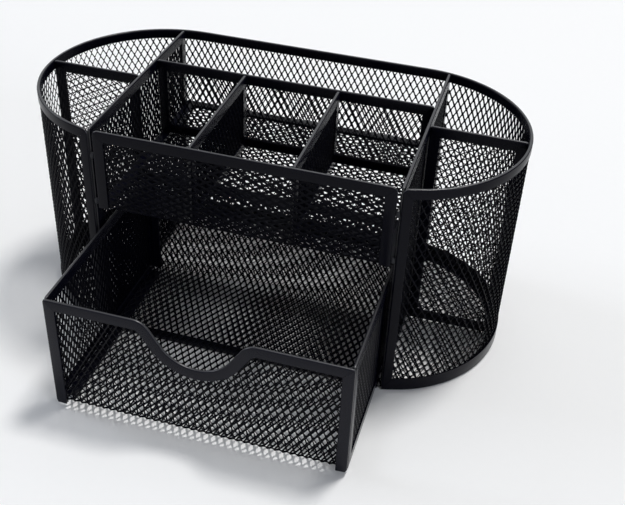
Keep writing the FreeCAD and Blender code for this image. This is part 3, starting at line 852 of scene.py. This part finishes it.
@dataclass
class Tub:
    """The tub: its wall, rims, posts and floor."""

    mesh: ExpandedMesh = ExpandedMesh()
    strip: Strip = Strip()
    post_width: float = 4.2 * MM
    top_width: float = 4.4 * MM
    foot_width: float = 7.0 * MM
    foot_radius: float = 0.9 * MM
    corner: float = 2.5 * MM
    bend_step: float = 2.6 * MM    # between two stations of a strip that runs round the ends
    end_facets: int = 18           # cuts that round each end of the floor
    joint_phase: float = 0.25      # where a joint in the wall's mesh falls within a diamond's pitch
    top: float = field(init=False)
    wall: TubWall = field(init=False)

    def __post_init__(self) -> None:
        """Reads the tub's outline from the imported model."""
        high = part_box("top_rim")[1]
        depth = high.y
        centre_x = high.x - depth
        inner = depth - self.strip.overall
        angle = math.asin((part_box("front_post_right")[0].x - centre_x) / inner)
        self.top = high.z
        self.wall = TubWall(centre_x, depth - self.strip.overall / 2.0, angle)

    def build(self) -> None:
        """Makes every piece of the tub."""
        self._build_wall()
        self._build_edges()
        self._build_floor()

    def _build_wall(self) -> None:
        """Makes the wall's mesh, in three lengths parted along their diamonds' borders."""
        reach = self.wall.reach - self.strip.sheet
        window = (-reach, self.strip.sheet, reach, self.top - self.strip.sheet)
        joint = (math.floor(self.wall.centre_x / self.mesh.across) + self.joint_phase) * self.mesh.across
        beyond = reach + self.mesh.across
        lengths = {"left": (-beyond, -joint), "rear": (-joint, joint), "right": (joint, beyond)}
        for name, section in lengths.items():
            make_piece(f"wall_weave_{name}", self.mesh.weave(window, section), self.wall, Body.ORGANIZER,
                       Coat.MESH, "wall_mesh")

    def _build_edges(self) -> None:
        """Makes the rims round the tub and the posts down its two front edges, mitred together."""
        reach, top = self.wall.reach, self.top
        rim, post = Strip(width=self.top_width), Strip(width=self.post_width)
        foot = Angle(width=self.foot_width, fold_radius=self.foot_radius)
        at_top, at_foot = self.top_width / self.post_width, self.foot_width / self.post_width
        self._edge_wall("top_rim", rim, Bar((reach, top), (-reach, top), 1.0 / at_top, 1.0 / at_top,
                                            self.bend_step), (-1.0, 1.0))
        self._edge_wall("bottom_rim", foot, Bar((-reach, 0.0), (reach, 0.0), 1.0 / at_foot, 1.0 / at_foot,
                                                self.bend_step))
        self._edge_wall("front_post_left", post, Bar((-reach, top), (-reach, 0.0), at_top, at_foot), (-1.0,))
        self._edge_wall("front_post_right", post, Bar((reach, 0.0), (reach, top), at_foot, at_top), (1.0,))

    def _edge_wall(self, node: str, strip: Strip, bar: Bar, rounded: Sequence[float] = ()) -> None:
        """Makes the strip on one edge of the wall.

        Args:
            node: the CAD node that it stands for.
            strip: the strip.
            bar: its run on the flat wall.
            rounded: the sides, -1 or 1, on which it takes in the rounding of an upper corner.
        """
        bm = bmesh.new()
        sweep(bm, strip.section(), bar.stations(strip.width))
        for side in rounded:
            RoundedCorner((side * self.wall.reach, self.top), (side, 1.0), self.corner).apply(bm)
        make_piece(f"{node}_edging", bm, self.wall, Body.ORGANIZER, Coat.EDGING, node)

    def _build_floor(self) -> None:
        """Makes the floor's mesh, cut to the tub's round ends, and the hem on its front edge."""
        sheet = Extent.of("floor_mesh")
        inner = self.wall.radius - self.strip.overall / 2.0
        cuts = []
        for side in (-1.0, 1.0):
            for step in range(1, self.end_facets):
                turn = math.pi * step / self.end_facets - math.pi / 2.0
                away = (side * math.cos(turn), math.sin(turn))
                cuts.append(((side * self.wall.centre_x + inner * away[0], inner * away[1]), away))
        woven = self.mesh.weave((sheet.u0, sheet.v0, sheet.u1, sheet.v1), cuts=cuts)
        make_piece("floor_weave", woven, sheet.plane, Body.ORGANIZER, Coat.MESH, "floor_mesh")
        hem = Extent.of("floor_front_hem")
        make_piece("floor_front_hem_edging", edge_sheet(hem, self.strip, Side.BOTTOM), hem.plane,
                   Body.ORGANIZER, Coat.EDGING, "floor_front_hem")


@dataclass
class Shelf:
    """The raised shelf with the bins' front: one sheet of mesh bent up at the front, and its edging."""

    mesh: ExpandedMesh = ExpandedMesh(strand=0.84 * MM, tilt=0.10 * MM)
    strip: Strip = Strip()
    bend: float = 2.3 * MM
    corner: float = 2.5 * MM
    weld_height: float = 3.2 * MM
    weld_width: float = 1.56 * MM
    weld_depth: float = 1.5 * MM
    weld_bite: float = 1.25        # how far a bead spreads over the metal that it joins
    weld_ripple: float = 0.09      # how much its ripples add to its radius
    ripple_turn: float = 7.0       # their phase in radians for each half height of the bead
    side_phase: float = 2.0        # and what makes each of the four beads different
    height_phase: float = 900.0

    def build(self) -> None:
        """Makes the shelf, the bins' front and the welds that hold it to the posts."""
        panel = Extent.of("front_panel_frame")
        shelf = Extent.of("shelf_frame")
        sheet = self.strip.sheet
        bent = FoldedSheet(panel.plane.origin.y, panel.v1 - sheet, shelf.plane.origin.z,
                           shelf.v1 - sheet + self.bend, self.bend)
        half = panel.u1 - sheet
        woven = self.mesh.weave_across((-half, 0.0, half, bent.drop + bent.bend + bent.run))
        make_piece("shelf_weave", woven, bent, Body.ORGANIZER, Coat.MESH, "front_panel_mesh", "shelf_mesh")
        make_piece("front_panel_edging", edge_sheet(panel, self.strip, Side.NOT_BOTTOM, self.corner),
                   panel.plane, Body.ORGANIZER, Coat.EDGING, "front_panel_frame")
        make_piece("shelf_edging", edge_sheet(shelf, self.strip, Side.NOT_BOTTOM), shelf.plane,
                   Body.ORGANIZER, Coat.EDGING, "shelf_frame")
        self._build_welds()

    def _build_welds(self) -> None:
        """Makes the four weld beads in the gaps between the bins' front and the posts."""
        low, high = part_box("front_panel_tabs")
        half = Vector((self.weld_width, self.weld_depth, self.weld_height)) / 2.0
        bm = bmesh.new()
        for side in (-1.0, 1.0):
            for height in (low.z + half.z, high.z - half.z):
                bead = bmesh.ops.create_icosphere(bm, subdivisions=3, radius=1.0)["verts"]
                phase = self.side_phase * side + self.height_phase * height
                for vert in bead:
                    ripple = 1.0 + self.weld_ripple * math.sin(self.ripple_turn * vert.co.z + phase)
                    vert.co.x *= half.x * self.weld_bite * ripple
                    vert.co.y *= half.y * ripple
                    vert.co.z *= half.z
                centre = Vector((side * (high.x - half.x), (low.y + high.y) / 2.0, height))
                bmesh.ops.translate(bm, verts=bead, vec=centre)
        make_piece("front_panel_welds", bm, Plane(Vector(), *AXES), Body.ORGANIZER, Coat.WELD,
                   "front_panel_tabs")


class Arc(NamedTuple):
    """An arc of the drawer's scoop: its centre and its radius."""

    u: float
    v: float
    radius: float


@dataclass
class Drawer:
    """The drawer: one sheet of mesh for its front, floor and back, two sides, and its edging."""

    mesh: ExpandedMesh = ExpandedMesh(across=3.3 * MM, along=5.9 * MM, strand=0.61 * MM)
    strip: Strip = Strip()
    bend: float = 2.3 * MM
    corner: float = 1.2 * MM
    foot_corner: float = 1.6 * MM
    foot_inset: float = 3.6 * MM
    scoop_depth: float = 18.9 * MM
    scoop_radius: float = 16.7 * MM            # of its bowl
    scoop_shoulder: float = 8.0 * MM           # the radius with which it runs out into the level edge
    scoop_slope: float = math.radians(57.0)    # of the straight stretch between the two
    scoop_steps: int = 9                       # stations on each arc
    front: Extent = field(init=False)
    back: Extent = field(init=False)
    bowl: Arc = field(init=False)
    shoulder: Arc = field(init=False)

    def __post_init__(self) -> None:
        """Reads the drawer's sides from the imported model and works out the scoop's right half."""
        self.front = Extent.of("drawer_front_frame")
        self.back = Extent.of("drawer_back_frame")
        sine, cosine = math.sin(self.scoop_slope), math.cos(self.scoop_slope)
        bowl = Arc(0.0, self.front.v1 - self.scoop_depth + self.scoop_radius, self.scoop_radius)
        shoulder_v = self.front.v1 - self.scoop_shoulder
        climb = shoulder_v + self.scoop_shoulder * cosine - (bowl.v - bowl.radius * cosine)
        shoulder_u = bowl.radius * sine + climb / math.tan(self.scoop_slope) + self.scoop_shoulder * sine
        self.bowl, self.shoulder = bowl, Arc(shoulder_u, shoulder_v, self.scoop_shoulder)

    def build(self) -> None:
        """Makes every piece of the drawer."""
        self._build_pan()
        self._build_front()
        self._build_back()
        panels = EdgedPanels(self.mesh, self.strip, self.corner)
        for side in ("left", "right"):
            panels.build(f"drawer_{side}", Body.DRAWER, self.foot_inset)

    def _scooped(self, u: float) -> float:
        """How deep the scoop is.

        Args:
            u: the place across.

        Returns:
            How far the front's upper edge lies there below its level part.
        """
        top, bowl, shoulder = self.front.v1, self.bowl, self.shoulder
        sine, cosine = math.sin(self.scoop_slope), math.cos(self.scoop_slope)
        u = abs(u)
        if u <= bowl.radius * sine:
            return top - bowl.v + math.sqrt(bowl.radius ** 2 - u ** 2)
        if u < shoulder.u - shoulder.radius * sine:
            return top - bowl.v + bowl.radius * cosine - (u - bowl.radius * sine) * math.tan(self.scoop_slope)
        if u < shoulder.u:
            return top - shoulder.v - math.sqrt(shoulder.radius ** 2 - (shoulder.u - u) ** 2)
        return 0.0

    def _build_pan(self) -> None:
        """Makes the mesh of the front, the floor and the back, with the scoop left out."""
        sheet = self.strip.sheet
        level = Extent.of("drawer_floor_mesh").plane.origin.z
        bent = FoldedSheet(self.front.plane.origin.y, self.front.v1 - sheet, level, self.back.plane.origin.y,
                           self.bend)
        half = self.front.u1 - sheet
        length = 2.0 * (bent.drop + bent.bend) + bent.run
        woven = self.mesh.weave((-half, 0.0, half, length), floor_of=self._scooped)
        make_piece("drawer_pan_weave", woven, bent, Body.DRAWER, Coat.MESH, "drawer_front_mesh",
                   "drawer_floor_mesh", "drawer_back_mesh")

    def _build_front(self) -> None:
        """Makes the strip that follows the scoop and the strips down the front's sides."""
        front = self.front
        bm = bmesh.new()
        for bar in (Bar((front.u1, front.v0), (front.u1, front.v1), 0.0, 1.0),
                    Bar((front.u0, front.v1), (front.u0, front.v0), 1.0, 0.0)):
            sweep(bm, self.strip.section(), bar.stations(self.strip.width))
        sweep(bm, self.strip.section(), self._scoop_stations())
        for side, u in ((-1.0, front.u0), (1.0, front.u1)):
            RoundedCorner((u, front.v1), (side, 1.0), self.corner).apply(bm)
            RoundedCorner((u, front.v0), (side, -1.0), self.foot_corner).apply(bm)
        make_piece("drawer_front_edging", bm, front.plane, Body.DRAWER, Coat.DRAWER_EDGING_PAINTED_REFLECTION,
                   "drawer_front_frame")

    def _scoop_stations(self) -> list[Station]:
        """Lays out the strip along the front's upper edge.

        Returns:
            Its stations, from right to left.
        """
        top = self.front.v1

        def square(u: float, slant: float) -> Station:
            """A station on the level edge, slanting by slant for each unit inward."""
            return lambda p: (u + slant * p, top - p)

        def on_arc(arc: Arc, turn: float, rise: float) -> Station:
            """A station on the shoulder, where rise is 1 and the strip is inside, or on the bowl, at -1."""
            return lambda p: (arc.u - (rise * arc.radius - p) * math.sin(turn),
                              arc.v + (rise * arc.radius - p) * math.cos(turn))

        turns = [self.scoop_slope * k / self.scoop_steps for k in range(self.scoop_steps + 1)]
        half = [*(square(self.front.u1 - SEAM - d, -1.0) for d in NEAR_END),
                *(on_arc(self.shoulder, turn, 1.0) for turn in turns),
                *(on_arc(self.bowl, turn, -1.0) for turn in reversed(turns))]

        def mirrored(station: Station) -> Station:
            """The station's mirror image in the front's middle."""
            return lambda p: (-station(p)[0], station(p)[1])

        return [*half, *(mirrored(station) for station in reversed(half[:-1]))]

    def _build_back(self) -> None:
        """Makes the strips of the drawer's back."""
        back = self.back
        make_piece("drawer_back_edging", edge_sheet(back, self.strip, Side.NOT_BOTTOM, self.corner),
                   back.plane, Body.DRAWER, Coat.DRAWER_EDGING_PAINTED_REFLECTION, "drawer_back_frame")


# ---- Studio ----


@dataclass(frozen=True)
class Lamp:
    """A soft round lamp that looks at the organizer."""

    name: str
    place: tuple[float, float, float]
    size: float
    power: float
    colour: Colour

    def hang(self) -> None:
        """Makes the lamp."""
        light = bpy.data.lights.new(self.name, "AREA")
        light.shape = "DISK"
        light.size = self.size
        light.energy = self.power
        light.color = self.colour
        holder = bpy.data.objects.new(self.name, light)
        holder.location = self.place
        holder.rotation_euler = (-Vector(self.place)).to_track_quat("-Z", "Y").to_euler()
        bpy.context.scene.collection.objects.link(holder)


@dataclass(frozen=True)
class Studio:
    """The pale table, the soft light and the camera."""

    camera_place: tuple[float, float, float] = (0.113944, -0.374707, 0.311288)
    azimuth: float = math.radians(14.1602)
    elevation: float = math.radians(36.1464)
    roll: float = math.radians(3.046)
    lens: float = 57.686
    shift: Point = (-0.004813, -0.004789)
    clip: Point = (0.01, 20.0)
    table_size: float = 3.0        # half its width
    lamps: tuple[Lamp, ...] = (
        Lamp("key", (0.58, 0.70, 2.85), size=0.6, power=50.0, colour=(1.0, 0.985, 0.955)),
        Lamp("ceiling", (0.25, 0.6, 2.4), size=2.4, power=13.0, colour=(0.95, 0.97, 1.0)),
        Lamp("right_window", (2.2, -1.2, 1.1), size=1.0, power=14.0, colour=(0.86, 0.91, 1.0)),
        Lamp("left_window", (-2.0, 0.1, 1.1), size=0.9, power=14.0, colour=(0.86, 0.91, 1.0)))

    def build(self) -> None:
        """Makes the table, the lights, the surroundings and the camera."""
        scene = bpy.context.scene
        scene.view_settings.view_transform = "Standard"
        scene.world = PaleRoom().build()
        for lamp in self.lamps:
            lamp.hang()
        self._lay_table()
        self._place_camera()

    def _lay_table(self) -> None:
        """Makes the table top."""
        bm = bmesh.new()
        bmesh.ops.create_grid(bm, x_segments=1, y_segments=1, size=self.table_size)
        mesh = bpy.data.meshes.new("table")
        bm.to_mesh(mesh)
        bm.free()
        table = bpy.data.objects.new("table", mesh)
        bpy.context.scene.collection.objects.link(table)
        table.data.materials.append(PaleTable().build())

    def _place_camera(self) -> None:
        """Puts the camera where it looks down on the organizer from the front right."""
        data = bpy.data.cameras.new("camera")
        data.lens = self.lens
        data.shift_x, data.shift_y = self.shift
        data.clip_start, data.clip_end = self.clip
        camera = bpy.data.objects.new("camera", data)
        back = Vector((math.sin(self.azimuth) * math.cos(self.elevation),
                       -math.cos(self.azimuth) * math.cos(self.elevation), math.sin(self.elevation)))
        right = Vector((math.cos(self.azimuth), math.sin(self.azimuth), 0.0))
        up = back.cross(right)
        cosine, sine = math.cos(self.roll), math.sin(self.roll)
        turn = Matrix((right * cosine + up * sine, up * cosine - right * sine, back)).transposed()
        camera.matrix_world = turn.to_4x4()
        camera.location = self.camera_place
        bpy.context.scene.collection.objects.link(camera)
        bpy.context.scene.camera = camera


def main() -> None:
    logging.basicConfig(level=logging.INFO, format="%(name)s: %(message)s")
    Studio().build()
    Tub().build()
    panels = EdgedPanels()
    for stem in ("left_divider", "right_divider", "row_divider", "left_bin", "right_bin"):
        panels.build(stem, Body.ORGANIZER)
    crosses = EdgedPanels(ExpandedMesh(strand=0.46 * MM, tilt=-0.14 * MM))
    for stem in ("left_cross", "right_cross"):
        crosses.build(stem, Body.ORGANIZER, turned=True)
    Shelf().build()
    Drawer().build()


if __name__ == "__main__":
    main()
